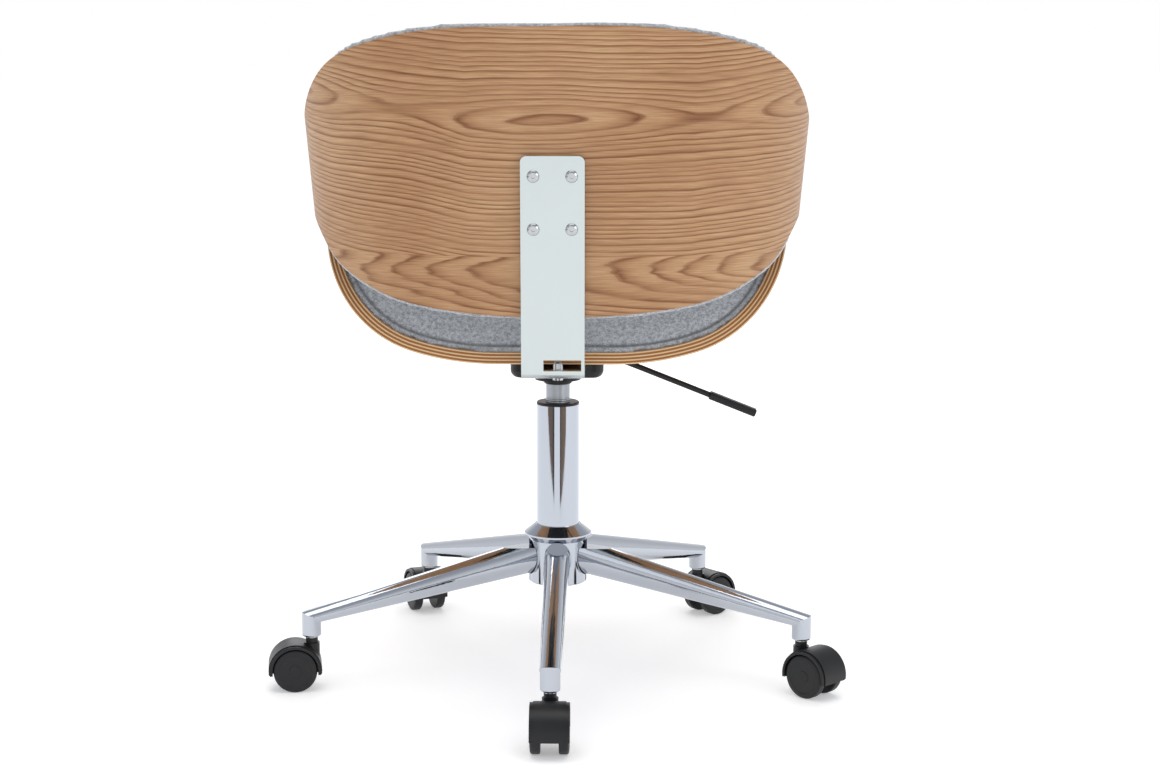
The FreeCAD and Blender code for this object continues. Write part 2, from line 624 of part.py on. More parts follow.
def make_lever():
    """A bent rod over the release pin, with a paddle grip on its outer end."""
    z_in, z_bend = value(LEVER_OVER_PIN), value("lever_height")
    bend, reach = value("lever_bend"), value("lever_reach")
    radius, slope = value("lever_radius"), math.radians(value("lever_slope"))
    inner = V(0, 0, z_in)
    corner = V(-bend, 0, z_bend)
    down = V(-math.cos(slope), 0, -math.sin(slope))
    tip = corner + down * ((reach - bend) / math.cos(slope))
    up_in = (inner - corner).normalize()
    lead = 18.0
    start, end = corner + up_in * lead, corner + down * lead
    middle_way = (up_in + down).normalize()
    turn = up_in.getAngle(down)
    radius_of_bend = lead * math.tan(turn / 2)
    centre = corner + middle_way * (lead / math.cos(turn / 2))
    middle = centre - middle_way * radius_of_bend
    path = Part.Wire([Part.LineSegment(inner + up_in * 5, start).toShape(),
                      Part.Arc(start, middle, end).toShape(),
                      Part.LineSegment(end, tip - down * 3).toShape()])
    section = Part.Wire([Part.Circle(inner + up_in * 5, up_in, radius).toShape()])
    rod_shape = path.makePipeShell([section], True, True)
    pivot = V(-value("lever_pivot"), -20, value(LEVER_AT_PIVOT))
    hole = Part.makeCylinder(value("pivot_radius + running_gap"), 40, pivot, V(0, 1, 0))
    shaped(rod_shape.cut(hole), "lever_rod")

    length, width, thick = value("grip_length"), value("grip_width"), value("grip_thick")
    grip = Part.makeBox(length, width, thick, V(-length, -width / 2, -thick / 2))
    long_edges = [edge for edge in grip.Edges if edge.BoundBox.XLength > length / 2]
    grip = grip.makeFillet(thick * 0.42, long_edges)
    ends = [edge for edge in grip.Edges if edge.BoundBox.XLength < 0.01]
    grip = grip.makeFillet(1.5, ends)
    grip.Placement = FreeCAD.Placement(tip - down * length, FreeCAD.Rotation(V(-1, 0, 0), down))
    shaped(grip.cut(rod_shape), "lever_grip")


# ---------------------------------------------------------------- back bracket
def wall_out(z):
    """Formula: how far back the back shell's outer face is at a height, in the middle."""
    return "back_depth + (%s - back_mid) * tan(back_lean)" % z


def on_back(x, z):
    """A placement on the back shell's outer face whose Z points inwards along its normal."""
    lean = value("back_lean")
    base = V(x, value(wall_out(z)), value(z))
    inwards = V(0, -math.cos(math.radians(lean)), math.sin(math.radians(lean)))
    return FreeCAD.Placement(base, FreeCAD.Rotation(V(0, 0, 1), inwards))


def screw_places():
    half = value("screw_spacing_x") / 2
    return [on_back(x, z) for z in ("screw_high", "screw_low") for x in (-half, half)]


def make_bracket():
    top, low = "bar_top", PLATE_LOW + " - bar_thick"
    bar = slab([(wall_out(top), top), (wall_out(top) + " + bar_thick", top),
                (wall_out(low) + " + bar_thick", low), ("bar_front", low), ("bar_front", PLATE_LOW),
                (wall_out(PLATE_LOW), PLATE_LOW)], "YZ_Plane", "bar_width")
    low_z, inner_z = value(low), value(PLATE_LOW)
    back_y = value(wall_out(low)) - 5
    across = lambda edge, z: abs(edge.BoundBox.ZMax - z) < 0.01 and edge.BoundBox.XLength > 9 \
        and edge.BoundBox.ZLength < 0.01 and edge.BoundBox.YMin > back_y
    dress(bar, "Fillet", "bar_bend", lambda edge: across(edge, low_z))
    dress(bar, "Fillet", "bar_bend - bar_thick", lambda edge: across(edge, inner_z))
    top_z = value(top)
    dress(bar, "Fillet", "bar_corner", lambda edge: edge.BoundBox.ZMax > top_z - 2
          and edge.BoundBox.XLength < 0.01 and 5 < edge.BoundBox.YLength < 7)
    doc.recompute()
    shape = bar.Shape
    for place in screw_places():
        hole = Part.makeCylinder(value("bolt_radius"), 60, V(0, 0, -30))
        shape = shape.cut(hole.transformed(place.toMatrix()))
    for x, y in PLATE_BOLTS[-2:]:
        shape = shape.cut(Part.makeCylinder(value("bolt_radius"), 60, V(value(x), value(y), value(low) - 20)))
    window = Part.makeBox(value("window_width"), 60, value("window_height"),
                          V(value("window_side - window_width / 2"), value(wall_out(low)) - 20,
                            value(low + " + bar_bend")))
    stud = Part.makeCylinder(value("bolt_radius"), 60,
                             V(value("stud_side"), value("stud_place"), value(low) - 20))
    shaped(shape.cut(window).cut(stud), "back_bracket")


def make_fasteners():
    lift_off = FreeCAD.Placement(V(0, 0, -value("bar_thick")), FreeCAD.Rotation())
    screw = fastener("screw_head_radius", "screw_head", "bolt_radius", "bar_thick + back_thick - 1.5",
                     "screw_socket")
    places = screw_places()
    at_spots(screw, [place.multiply(lift_off) for place in places], "back_screws")
    nut = tee_nut("back_thick - 1")
    inside = FreeCAD.Placement(V(0, 0, value("back_thick")), FreeCAD.Rotation())
    at_spots(nut, [place.multiply(inside) for place in places], "back_tee_nuts")
    seat_bolt = fastener("5.5", "3.6", "bolt_radius", "plate_thick + seat_thick - 1.5", "screw_socket")
    corner_spots = [FreeCAD.Placement(V(value(x), value(y), value(PLATE_LOW)), FreeCAD.Rotation())
                    for x, y in PLATE_BOLTS[:-2]]
    at_spots(seat_bolt, corner_spots, "seat_bolts")
    bar_bolt = fastener("6.5", "4", "bolt_radius", "bar_thick + plate_thick + seat_thick - 1.5",
                        "screw_socket")
    doc.recompute()
    bar_spots = [FreeCAD.Placement(V(value(x), value(y), value(PLATE_LOW + " - bar_thick")),
                                   FreeCAD.Rotation()) for x, y in PLATE_BOLTS[-2:]]
    bolts = [bar_bolt.Shape.transformed(spot.toMatrix(), True) for spot in bar_spots]
    foot, under = PLATE_LOW, PLATE_LOW + " - bar_thick"
    stud = turned([("0", under + " - 3"), ("5.5", under + " - 3"), ("5.5", under),
                   ("bolt_radius", under), ("bolt_radius", foot), ("7", foot), ("7", foot + " + 1.4"),
                   ("5.4", foot + " + 1.4"), ("4.8", foot + " + 9"), ("3.4", foot + " + 11"),
                   ("0", foot + " + 11")])
    doc.recompute()
    spot = V(value("stud_side"), value("stud_place"), 0)
    shaped(Part.makeCompound(bolts + [stud.Shape.translated(spot)]), "bracket_bolts")
    seat_nut = tee_nut("seat_thick - 2")
    at_spots(seat_nut, seat_nut_places(), "seat_tee_nuts")


def seat_nut_places():
    top = value(SHELL_TOP)
    return [FreeCAD.Placement(V(value(x), value(y), top), FreeCAD.Rotation()) for x, y in PLATE_BOLTS]


# ---------------------------------------------------------------- shells and padding
# the back shell's edge seen from behind: shares of the half width, and of the height from
# the middle to the top (above zero) or to the lowest point (below zero)
BACK_EDGE = [(0, 1), (0.452, 0.978), (0.699, 0.895), (0.879, 0.748), (0.963, 0.565), (1.016, 0.32),
             (1.045, 0), (1.026, -0.232), (0.969, -0.378), (0.868, -0.629), (0.756, -0.775),
             (0.640, -0.874), (0.441, -0.954), (0, -1)]
# the same edge seen from the side, from the column and from the middle height
ARM_EDGE = [(300, 200), (215, 150), (120, 80), (50, 44), (-20, 19), (-80, -4), (-112, -29),
            (-100, -54), (-50, -62), (20, -64), (80, -72), (120, -110), (180, -190), (300, -200)]
# the seat shell's edge seen from the side, from the column and from the seat's underside
SEAT_EDGE = [(192, -20), (190, 8), (172, 40), (120, 92), (50, 141), (-20, 172), (-80, 180),
             (-140, 167), (-200, 118), (-238, 57), (-251, 8), (-252, -20)]


def smooth_edge(points, proud=0.0):
    """A closed smooth wire through the points, each moved outwards by proud."""
    count = len(points)
    middle = sum(points, V()) * (1.0 / count)
    normals = [(points[(i + 1) % count] - points[i - 1]) for i in range(count)]
    across = (points[1] - points[0]).cross(points[count // 2] - points[0]).normalize()
    moved = []
    for point, run in zip(points, normals):
        outward = run.cross(across).normalize()
        if outward.dot(point - middle) < 0:
            outward = outward * -1
        moved.append(point + outward * proud)
    curve = Part.BSplineCurve()
    curve.interpolate(Points=moved, PeriodicFlag=True)
    return Part.Wire([curve.toShape()])


def back_prism(proud=0.0):
    """Everything inside the back shell's edge, as seen from behind."""
    middle, half = value("back_mid"), value("back_half_width")
    rise, drop = value("back_top") - middle, middle - value("back_low")
    right = [V(x * half, -400, middle + z * (rise if z > 0 else drop)) for x, z in BACK_EDGE]
    left = [V(-point.x, point.y, point.z) for point in reversed(right[1:-1])]
    return Part.Face(smooth_edge(right + left, proud)).extrude(V(0, 800, 0))


def side_prism(points, height, proud=0.0):
    """Everything inside an edge seen from the side."""
    around = [V(-400, y, height + z) for y, z in points]
    return Part.Face(smooth_edge(around, proud)).extrude(V(800, 0, 0))


def back_plan(z, inset):
    """The wall's plan at a height, closed across the front."""
    grow = (z - value("back_mid")) * math.tan(math.radians(value("back_lean"))) - inset
    wide, side = value("back_centre_bend"), value("back_side_bend")
    half, depth = value("back_half_width"), value("back_depth")
    turn = math.asin((half - side) / (wide - side))
    centre = V(0, depth - wide, z)
    corner = centre + V(math.sin(turn), math.cos(turn), 0) * (wide - side)
    wide, side = wide + grow, side + grow
    swing = lambda middle, radius, angle: middle + V(math.sin(angle), math.cos(angle), 0) * radius
    mirror = lambda point: V(-point.x, point.y, point.z)
    join = swing(centre, wide, turn)
    elbow = swing(corner, side, (turn + math.pi / 2) / 2)
    flank = swing(corner, side, math.pi / 2)
    front = V(flank.x, -200, z)
    return Part.Wire([
        Part.Arc(mirror(join), swing(centre, wide, 0), join).toShape(),
        Part.Arc(join, elbow, flank).toShape(),
        Part.LineSegment(flank, front).toShape(),
        Part.LineSegment(front, mirror(front)).toShape(),
        Part.LineSegment(mirror(front), mirror(flank)).toShape(),
        Part.Arc(mirror(flank), mirror(elbow), mirror(join)).toShape()])


def back_tub(inset):
    """The filled space inside the leaning wall, moved inwards by inset."""
    return Part.makeLoft([back_plan(400, inset), back_plan(820, inset)], True, True)


def seat_trough(inset):
    """The filled space above the seat's section, moved inwards by inset."""
    flat, low = value("seat_flat"), value("plate_top") + inset
    soft, corner = value("seat_soft_bend") - inset, value("seat_corner_bend") - inset
    turn, steep = math.radians(value("seat_soft_turn")), math.radians(value("seat_wing_angle"))
    first = V(flat, -300, low + soft)
    swing = lambda middle, radius, angle: middle + V(math.sin(angle), 0, -math.cos(angle)) * radius
    join = swing(first, soft, turn)
    second = swing(first, soft - corner, turn)
    wing = swing(second, corner, steep)
    height = 700
    top = wing + V((height - wing.z) / math.tan(steep), 0, height - wing.z)
    mirror = lambda point: V(-point.x, point.y, point.z)
    half = [(V(flat, -300, low), swing(first, soft, turn / 2), join),
            (join, swing(second, corner, (turn + steep) / 2), wing)]
    edges = [Part.LineSegment(mirror(half[0][0]), half[0][0]).toShape()]
    edges += [Part.Arc(*arc).toShape() for arc in half]
    edges += [Part.LineSegment(wing, top).toShape(), Part.LineSegment(top, mirror(top)).toShape(),
              Part.LineSegment(mirror(top), mirror(wing)).toShape()]
    edges += [Part.Arc(*[mirror(point) for point in reversed(arc)]).toShape() for arc in reversed(half)]
    return Part.Face(Part.Wire(edges)).extrude(V(0, 600, 0))


def largest(shape):
    return max(shape.Solids, key=lambda solid: solid.Volume)


def cut_edges(shell):
    """The edges where a plywood shell's faces meet its sawn rim."""
    sawn = lambda face: face.Surface.TypeId == "Part::GeomSurfaceOfExtrusion"
    sides = [(edge, shell.ancestorsOfType(edge, Part.Face)) for edge in shell.Edges]
    return [edge for edge, faces in sides if len(faces) == 2 and sawn(faces[0]) != sawn(faces[1])]


def make_seat():
    thick, pad = value("seat_thick"), value("seat_pad_thick")
    under = value("plate_top")
    shell = largest(seat_trough(0).cut(seat_trough(thick)).common(side_prism(SEAT_EDGE, under)))
    shell = shell.makeFillet(value("ply_ease"), cut_edges(shell))
    for x, y in PLATE_BOLTS:
        shell = shell.cut(nut_seat(thick).translated(V(value(x), value(y), under)))
    shaped(largest(shell), "seat_shell")
    edge = side_prism(SEAT_EDGE, under, -value("seat_pad_inset"))
    cushion = seat_trough(thick).cut(seat_trough(thick + pad)).common(edge)
    shaped(largest(cushion), "seat_cushion")


def make_back():
    thick, pad = value("back_thick"), value("back_pad_thick")
    middle, proud, clear = value("back_mid"), value("back_pad_proud"), value("wing_clearance")
    shell = back_tub(0).cut(back_tub(thick))
    shell = shell.common(back_prism()).common(side_prism(ARM_EDGE, middle))
    for place in screw_places():
        shell = shell.cut(nut_seat(thick).transformed(place.toMatrix()))
    shaped(largest(shell), "back_shell")
    cushion = back_tub(thick).cut(back_tub(thick + pad))
    cushion = cushion.common(back_prism(proud)).common(side_prism(ARM_EDGE, middle, proud))
    seat_space = seat_trough(-clear).common(side_prism(SEAT_EDGE, value("plate_top"), clear))
    shaped(largest(cushion.cut(seat_space)), "back_cushion")


# ---------------------------------------------------------------- build, check and export
def check(items):
    """Stops on any failed object and on any sub-part without a sound solid."""
    failed = [item.Label for item in doc.Objects
              if "Invalid" in item.State or "Error" in item.State]
    if failed:
        raise RuntimeError("failed: " + ", ".join(failed))
    for item in items:
        shape = item.Shape
        if shape.isNull() or not shape.isValid() or not shape.Solids:
            raise RuntimeError("no sound solid: " + item.Label)


make_base()
make_lift()
make_casters()
make_mechanism()
make_lever()
make_bracket()
make_fasteners()
make_seat()
make_back()
doc.recompute()
check(kept)
os.makedirs("parts", exist_ok=True)
for item in kept:
    item.Shape.exportStep("parts/%s.step" % item.Label)
print(len(kept), "sub-parts")
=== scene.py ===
"""Low-back swivel chair: bent ash shells, grey wool padding, chromed column and five-star caster base."""
import math

import bpy
from bpy.props import FloatProperty, FloatVectorProperty, PointerProperty
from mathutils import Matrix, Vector


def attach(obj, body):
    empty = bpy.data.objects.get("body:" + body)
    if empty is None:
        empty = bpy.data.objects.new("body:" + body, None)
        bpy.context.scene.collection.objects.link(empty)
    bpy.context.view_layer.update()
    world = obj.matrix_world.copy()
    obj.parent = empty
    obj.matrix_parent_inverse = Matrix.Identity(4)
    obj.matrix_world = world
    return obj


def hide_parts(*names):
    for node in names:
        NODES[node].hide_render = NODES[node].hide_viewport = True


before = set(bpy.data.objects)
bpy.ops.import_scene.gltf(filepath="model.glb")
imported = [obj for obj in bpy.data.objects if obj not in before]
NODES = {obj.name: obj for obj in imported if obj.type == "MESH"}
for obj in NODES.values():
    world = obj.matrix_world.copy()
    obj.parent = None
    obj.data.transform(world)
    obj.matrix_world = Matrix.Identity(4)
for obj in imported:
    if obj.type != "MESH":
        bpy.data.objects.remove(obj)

bl_info = {
    "name": "Swivel Chair Dressing",
    "version": (1, 0, 0),
    "blender": (4, 5, 0),
    "location": "View3D > Sidebar > Swivel Chair",
    "description": "Dresses the swivel chair's frame with veneer, cloth, chrome and nylon",
    "category": "Object",
}

MM = 0.001
PLIES = 7
SWELL_FRAMES = 20
FLOOR_RADIUS = 30.0
CASTERS = range(1, 6)


# ------------------------------------------------------------------ sizes and colours
class SWIVEL_PG_shells(bpy.types.PropertyGroup):
    """The bent plywood shells and their veneer."""
    ring_width: FloatProperty(name="Ring width", description="Growth ring spacing of the ash",
                              default=5.6 * MM, unit="LENGTH")
    joint_height: FloatProperty(name="Leaf joint", description="Height where two veneer leaves meet",
                                default=0.516, unit="LENGTH")
    back_half_width: FloatProperty(name="Back half width", description="Outer half width at mid height",
                                   default=276.6 * MM, unit="LENGTH")
    back_depth: FloatProperty(name="Back depth", description="Rear face behind the column at mid height",
                              default=250 * MM, unit="LENGTH")
    back_mid: FloatProperty(name="Back mid height", description="Where width and depth are measured",
                            default=600 * MM, unit="LENGTH")
    back_centre_bend: FloatProperty(name="Back centre bend", description="Plan radius across the back",
                                    default=450 * MM, unit="LENGTH")
    back_side_bend: FloatProperty(name="Back side bend", description="Plan radius at the sides",
                                  default=170 * MM, unit="LENGTH")
    back_lean: FloatProperty(name="Back lean", description="Lean of the back's wall",
                             default=math.radians(5), subtype="ANGLE")
    back_ply: FloatProperty(name="Back thickness", description="Thickness of the back plywood",
                            default=8 * MM, unit="LENGTH")
    seat_low: FloatProperty(name="Seat underside", description="Height of the seat plywood's underside",
                            default=394.5 * MM, unit="LENGTH")
    seat_flat: FloatProperty(name="Seat flat", description="Half width of the seat's flat middle",
                             default=62 * MM, unit="LENGTH")
    seat_soft_bend: FloatProperty(name="Seat soft bend", description="Outer radius beside the flat",
                                  default=330 * MM, unit="LENGTH")
    seat_soft_turn: FloatProperty(name="Seat soft turn", description="Angle of the soft bend",
                                  default=math.radians(16), subtype="ANGLE")
    seat_corner_bend: FloatProperty(name="Seat corner bend", description="Outer radius up into the wings",
                                    default=150 * MM, unit="LENGTH")
    seat_wing_angle: FloatProperty(name="Seat wing angle", description="Slope of the wings",
                                   default=math.radians(84), subtype="ANGLE")
    seat_ply: FloatProperty(name="Seat thickness", description="Thickness of the seat plywood",
                            default=12.5 * MM, unit="LENGTH")


class SWIVEL_PG_cloth(bpy.types.PropertyGroup):
    """The padding and its cloth."""
    voxel: FloatProperty(name="Voxel", description="Remesh size of the padding", default=4 * MM,
                         unit="LENGTH")
    pressure: FloatProperty(name="Pressure", description="Inflation of the padding", default=4.0)
    swell: FloatProperty(name="Swell", description="Most that the padding may swell", default=7 * MM,
                         unit="LENGTH")
    seam_height: FloatProperty(name="Seam height", description="Boxing seam above the plywood",
                               default=6.5 * MM, unit="LENGTH")
    seam_width: FloatProperty(name="Seam width", description="Width of the seam's groove",
                              default=2.6 * MM, unit="LENGTH")
    colour: FloatVectorProperty(name="Cloth", description="Colour of the wool", subtype="COLOR",
                                default=(0.33, 0.345, 0.365))


class SWIVEL_PG_stage(bpy.types.PropertyGroup):
    """Camera placement and lens."""
    distance: FloatProperty(name="Distance", description="Camera behind the column", default=2.52,
                            unit="LENGTH")
    height: FloatProperty(name="Height", description="Camera above the floor", default=0.758,
                          unit="LENGTH")
    pitch: FloatProperty(name="Pitch", description="Camera tilted down", default=math.radians(9.46),
                         subtype="ANGLE")
    lens: FloatProperty(name="Lens", description="Focal length in millimetres", default=67.8)
    side_turn: FloatProperty(name="Side turn", description="Camera turned about the column",
                             default=math.radians(1.3), subtype="ANGLE")
    shift: FloatProperty(name="Shift", description="Sideways framing", default=0.019)


# ------------------------------------------------------------------ materials
def linear(hex_colour):
    """sRGB hex to linear red, green, blue and alpha."""
    parts = [int(hex_colour[i:i + 2], 16) / 255 for i in (1, 3, 5)]
    return [c / 12.92 if c <= 0.04045 else ((c + 0.055) / 1.055) ** 2.4 for c in parts] + [1.0]


def add(tree, kind, inputs=(), **settings):
    """A shader node with its settings; inputs lists or maps its sockets to values, outputs or nodes."""
    node = tree.nodes.new("ShaderNode" + kind)
    for stop, (place, tone) in enumerate(settings.pop("stops", ())):
        elements = node.color_ramp.elements
        step = elements[stop] if stop < len(elements) else elements.new(place)
        step.position, step.color = place, linear(tone)
    for name, setting in settings.items():
        setattr(node, name, setting)
    for socket, given in inputs.items() if isinstance(inputs, dict) else enumerate(inputs):
        given = given.outputs[0] if isinstance(given, bpy.types.Node) else given
        if isinstance(given, bpy.types.NodeSocket):
            tree.links.new(given, node.inputs[socket])
        else:
            node.inputs[socket].default_value = given
    return node


def new_material(name, **surface):
    """A material with a Principled shader; surface gives its plain sockets."""
    material = bpy.data.materials.new(name)
    material.use_nodes = True
    tree = material.node_tree
    shader = tree.nodes["Principled BSDF"]
    for socket, given in surface.items():
        shader.inputs[socket.replace("_", " ")].default_value = given
    return material, tree, shader


def year_rings(tree, grain, drift):
    """Where a point of the veneer lies within its growth ring, 0 to 1, in two leaves with arches."""
    shells = bpy.context.scene.swivel_shells
    along, height = add(tree, "SeparateXYZ", [grain]).outputs[:2]
    stretched = add(tree, "Mapping", {"Vector": grain, "Scale": (1.6, 14.0, 1.0)})
    waver = add(tree, "TexNoise", {"Vector": stretched, "Scale": 3.0, "Detail": 3.0})
    # the upper leaf: arches that open and close along a line that rises towards both ends
    past_right = add(tree, "Math", [along, 0.09], operation="SUBTRACT")
    leaning = add(tree, "Math", [past_right, 0.0], operation="MAXIMUM")
    past_left = add(tree, "Math", [-0.15, along], operation="SUBTRACT")
    rising = add(tree, "Math", [past_left, 0.0], operation="MAXIMUM")
    upper = add(tree, "Math", [height, 0.668], operation="SUBTRACT")
    upper = add(tree, "Math", [leaning, -0.13, upper], operation="MULTIPLY_ADD")
    upper = add(tree, "Math", [rising, -0.10, upper], operation="MULTIPLY_ADD")
    upper = add(tree, "Math", [drift, 0.016, upper], operation="MULTIPLY_ADD")
    phase = add(tree, "Math", [along, -19.0, 4.8], operation="MULTIPLY_ADD")
    sway = add(tree, "Math", [phase], operation="SINE")
    core_up = add(tree, "Math", [sway, 0.0078, 0.0112], operation="MULTIPLY_ADD")
    core_up = add(tree, "Math", [waver, 0.006, core_up], operation="MULTIPLY_ADD")
    # the lower leaf: arches that point the other way, just under the joint
    lower = add(tree, "Math", [height, 0.502], operation="SUBTRACT")
    fall = add(tree, "Math", [along, 0.105], operation="MULTIPLY")
    opened = add(tree, "Math", [fall, 0.036], operation="ADD")
    core_low = add(tree, "Math", [opened, 0.004], operation="MAXIMUM")
    shaken = add(tree, "Math", [waver, 0.010], operation="MULTIPLY")
    core_low = add(tree, "Math", [core_low, shaken], operation="ADD")
    is_upper = add(tree, "Math", [height, shells.joint_height], operation="GREATER_THAN")
    across = add(tree, "Mix", {0: is_upper, 2: lower, 3: upper})
    core = add(tree, "Mix", {0: is_upper, 2: core_low, 3: core_up})
    across = add(tree, "Math", [across, across], operation="MULTIPLY")
    core = add(tree, "Math", [core, core], operation="MULTIPLY")
    radius = add(tree, "Math", [across, core], operation="ADD")
    radius = add(tree, "Math", [radius], operation="SQRT")
    shaken = add(tree, "Math", [waver, 0.0024], operation="MULTIPLY")
    radius = add(tree, "Math", [radius, shaken], operation="ADD")
    # rings crowd and spread every few years
    years = add(tree, "Math", [radius, 210.0], operation="MULTIPLY")
    years = add(tree, "Math", [years], operation="SINE")
    radius = add(tree, "Math", [years, 0.0016, radius], operation="MULTIPLY_ADD")
    count = add(tree, "Math", [radius, shells.ring_width], operation="DIVIDE")
    return add(tree, "Math", [count], operation="FRACT")


def cut_plies(tree, depth):
    """Colour of the plywood's cut edge, and where it shows: plies of two directions, dark glue lines."""
    one_ply = add(tree, "Attribute", attribute_name="plies").outputs["Fac"]
    ply = add(tree, "Math", [depth, one_ply], operation="DIVIDE")
    layer = add(tree, "Math", [ply], operation="FRACT")
    whole = add(tree, "Math", [ply], operation="FLOOR")
    half = add(tree, "Math", [whole, 0.5], operation="MULTIPLY")
    turn = add(tree, "Math", [half], operation="FRACT")
    turn = add(tree, "Math", [turn, 2.0], operation="MULTIPLY")
    glue = add(tree, "ValToRGB", [layer], stops=(
        (0.0, "#6B4227"), (0.10, "#D9B78A"), (0.85, "#DDBD92"), (1.0, "#6B4227")))
    tint = add(tree, "Mix", {0: turn, 6: linear("#FFFFFF"), 7: linear("#B98A5E")}, data_type="RGBA")
    plies = add(tree, "Mix", {0: 1.0, 6: glue, 7: tint.outputs[2]}, data_type="RGBA",
                blend_type="MULTIPLY")
    # the outer fifth of the first and last ply is face veneer, wrapped over the cut
    above = add(tree, "Math", [ply, 0.22], operation="GREATER_THAN")
    below = add(tree, "Math", [ply, PLIES - 0.22], operation="LESS_THAN")
    return plies.outputs[2], add(tree, "Math", [above, below], operation="MULTIPLY")


def ash_plywood():
    """Lacquered ash veneer on bent plywood: dark latewood lines on warm straw, pale plies at the edge."""
    material, tree, shader = new_material("ash_plywood_lacquered", Roughness=0.42, Specular_IOR_Level=0.32)
    grain = add(tree, "Attribute", attribute_name="grain").outputs["Vector"]
    depth = add(tree, "SeparateXYZ", [grain]).outputs[2]
    drift = add(tree, "TexNoise", {"Vector": grain, "Scale": 5.0, "Detail": 2.0})
    ring = year_rings(tree, grain, drift)
    tone = add(tree, "ValToRGB", [ring], stops=(
        (0.0, "#BE9873"), (0.1, "#CCA780"), (0.45, "#C9A37B"),
        (0.72, "#B48A63"), (0.89, "#8A5C3B"), (1.0, "#AC825B")))
    faint_map = add(tree, "Mapping", {"Vector": grain, "Scale": (3.0, 75.0, 1.0)})
    faint = add(tree, "TexNoise", {"Vector": faint_map, "Scale": 1.0, "Detail": 2.0})
    faint = add(tree, "Math", [faint, 2.4, -0.45], operation="MULTIPLY_ADD", use_clamp=True)
    tone = add(tree, "Mix", {0: faint, 6: linear("#BC946D"), 7: tone}, data_type="RGBA")
    # fibres are drawn 1.1 mm apart and long along the grain, coarser than real so that they show
    fibre_map = add(tree, "Mapping", {"Vector": grain, "Scale": (30.0, 900.0, 30.0)})
    fibre = add(tree, "TexNoise", {"Vector": fibre_map, "Scale": 1.0, "Detail": 3.0})
    streak = add(tree, "ValToRGB", [fibre], stops=((0.3, "#C9C0B8"), (0.7, "#FFFFFF")))
    face = add(tree, "Mix", {0: 0.75, 6: tone.outputs[2], 7: streak}, data_type="RGBA",
               blend_type="MULTIPLY")
    patch = add(tree, "ValToRGB", [drift], stops=((0.3, "#E2D0C3"), (0.7, "#FFFFFF")))
    face = add(tree, "Mix", {0: 0.8, 6: face.outputs[2], 7: patch}, data_type="RGBA",
               blend_type="MULTIPLY")
    plies, on_edge = cut_plies(tree, depth)
    colour = add(tree, "Mix", {0: on_edge, 6: face.outputs[2], 7: plies}, data_type="RGBA")
    tree.links.new(colour.outputs[2], shader.inputs["Base Color"])
    fine = add(tree, "Math", [fibre, 0.5], operation="MULTIPLY")
    coarse = add(tree, "Math", [ring, 0.3], operation="MULTIPLY")
    relief = add(tree, "Math", [fine, coarse], operation="ADD")
    bump = add(tree, "Bump", {"Height": relief, "Strength": 0.12, "Distance": 0.2 * MM})
    tree.links.new(bump.outputs[0], shader.inputs["Normal"])
    return material


def wool_cloth():
    """Grey wool felt: short matt fibres of mixed greys over a fine weave, with a soft sheen."""
    base = [round(part, 4) for part in bpy.context.scene.swivel_cloth.colour]
    material, tree, shader = new_material("wool_felt_grey", Roughness=0.92, Sheen_Weight=1.0,
                                          Sheen_Roughness=0.4, Specular_IOR_Level=0.2)
    place = add(tree, "TexCoord").outputs["Object"]
    # fibres are drawn 1.4 mm apart and their mottle at about 4 mm, coarser than real so that they show
    fine = add(tree, "TexNoise", {"Vector": place, "Scale": 700.0, "Detail": 4.0})
    cloud = add(tree, "TexNoise", {"Vector": place, "Scale": 260.0, "Detail": 4.0})
    fine_half = add(tree, "Math", [fine, 0.5], operation="MULTIPLY")
    cloud_half = add(tree, "Math", [cloud, 0.5], operation="MULTIPLY")
    mix = add(tree, "Math", [fine_half, cloud_half], operation="ADD")
    mix = add(tree, "Math", [mix, 4.4, -1.7], operation="MULTIPLY_ADD", use_clamp=True)
    dark = [part * 0.7 for part in base] + [1.0]
    light = [min(part * 1.55, 1.0) for part in base] + [1.0]
    tone = add(tree, "Mix", {0: mix, 6: dark, 7: light}, data_type="RGBA")
    # the fold of a seam is in shadow
    seam = add(tree, "Attribute", attribute_name="seam").outputs["Fac"]
    folded = add(tree, "Math", [seam, 0.8], operation="MULTIPLY")
    shadow = [part * 0.25 for part in base] + [1.0]
    tone = add(tree, "Mix", {0: folded, 6: tone.outputs[2], 7: shadow}, data_type="RGBA")
    tree.links.new(tone.outputs[2], shader.inputs["Base Color"])
    warp = add(tree, "TexVoronoi", {"Vector": place, "Scale": 900.0})
    warp = add(tree, "Math", [warp, 0.6], operation="MULTIPLY")
    relief = add(tree, "Math", [warp, fine], operation="ADD")
    bump = add(tree, "Bump", {"Height": relief, "Strength": 0.45, "Distance": 0.5 * MM})
    tree.links.new(bump.outputs[0], shader.inputs["Normal"])
    return material


def plated_metal(name, tone, rough, waver):
    """A bright plate over steel, with faint waves in the surface and dull breath marks."""
    material, tree, shader = new_material(name, Metallic=1.0, Base_Color=linear(tone))
    place = add(tree, "TexCoord").outputs["Object"]
    smear = add(tree, "TexNoise", {"Vector": place, "Scale": 24.0, "Detail": 5.0})
    dull = add(tree, "Math", [smear, rough, rough * 0.5], operation="MULTIPLY_ADD")
    tree.links.new(dull.outputs[0], shader.inputs["Roughness"])
    swell = add(tree, "TexNoise", {"Vector": place, "Scale": 14.0, "Detail": 1.0})
    bump = add(tree, "Bump", {"Height": swell, "Strength": waver, "Distance": 1.0 * MM})
    tree.links.new(bump.outputs[0], shader.inputs["Normal"])
    return material


def chrome_plate():
    """Bright chrome on drawn steel tube: a clean mirror that bends slightly with the tube."""
    return plated_metal("chrome_plated_tube", "#B7BCC4", 0.07, 0.05)


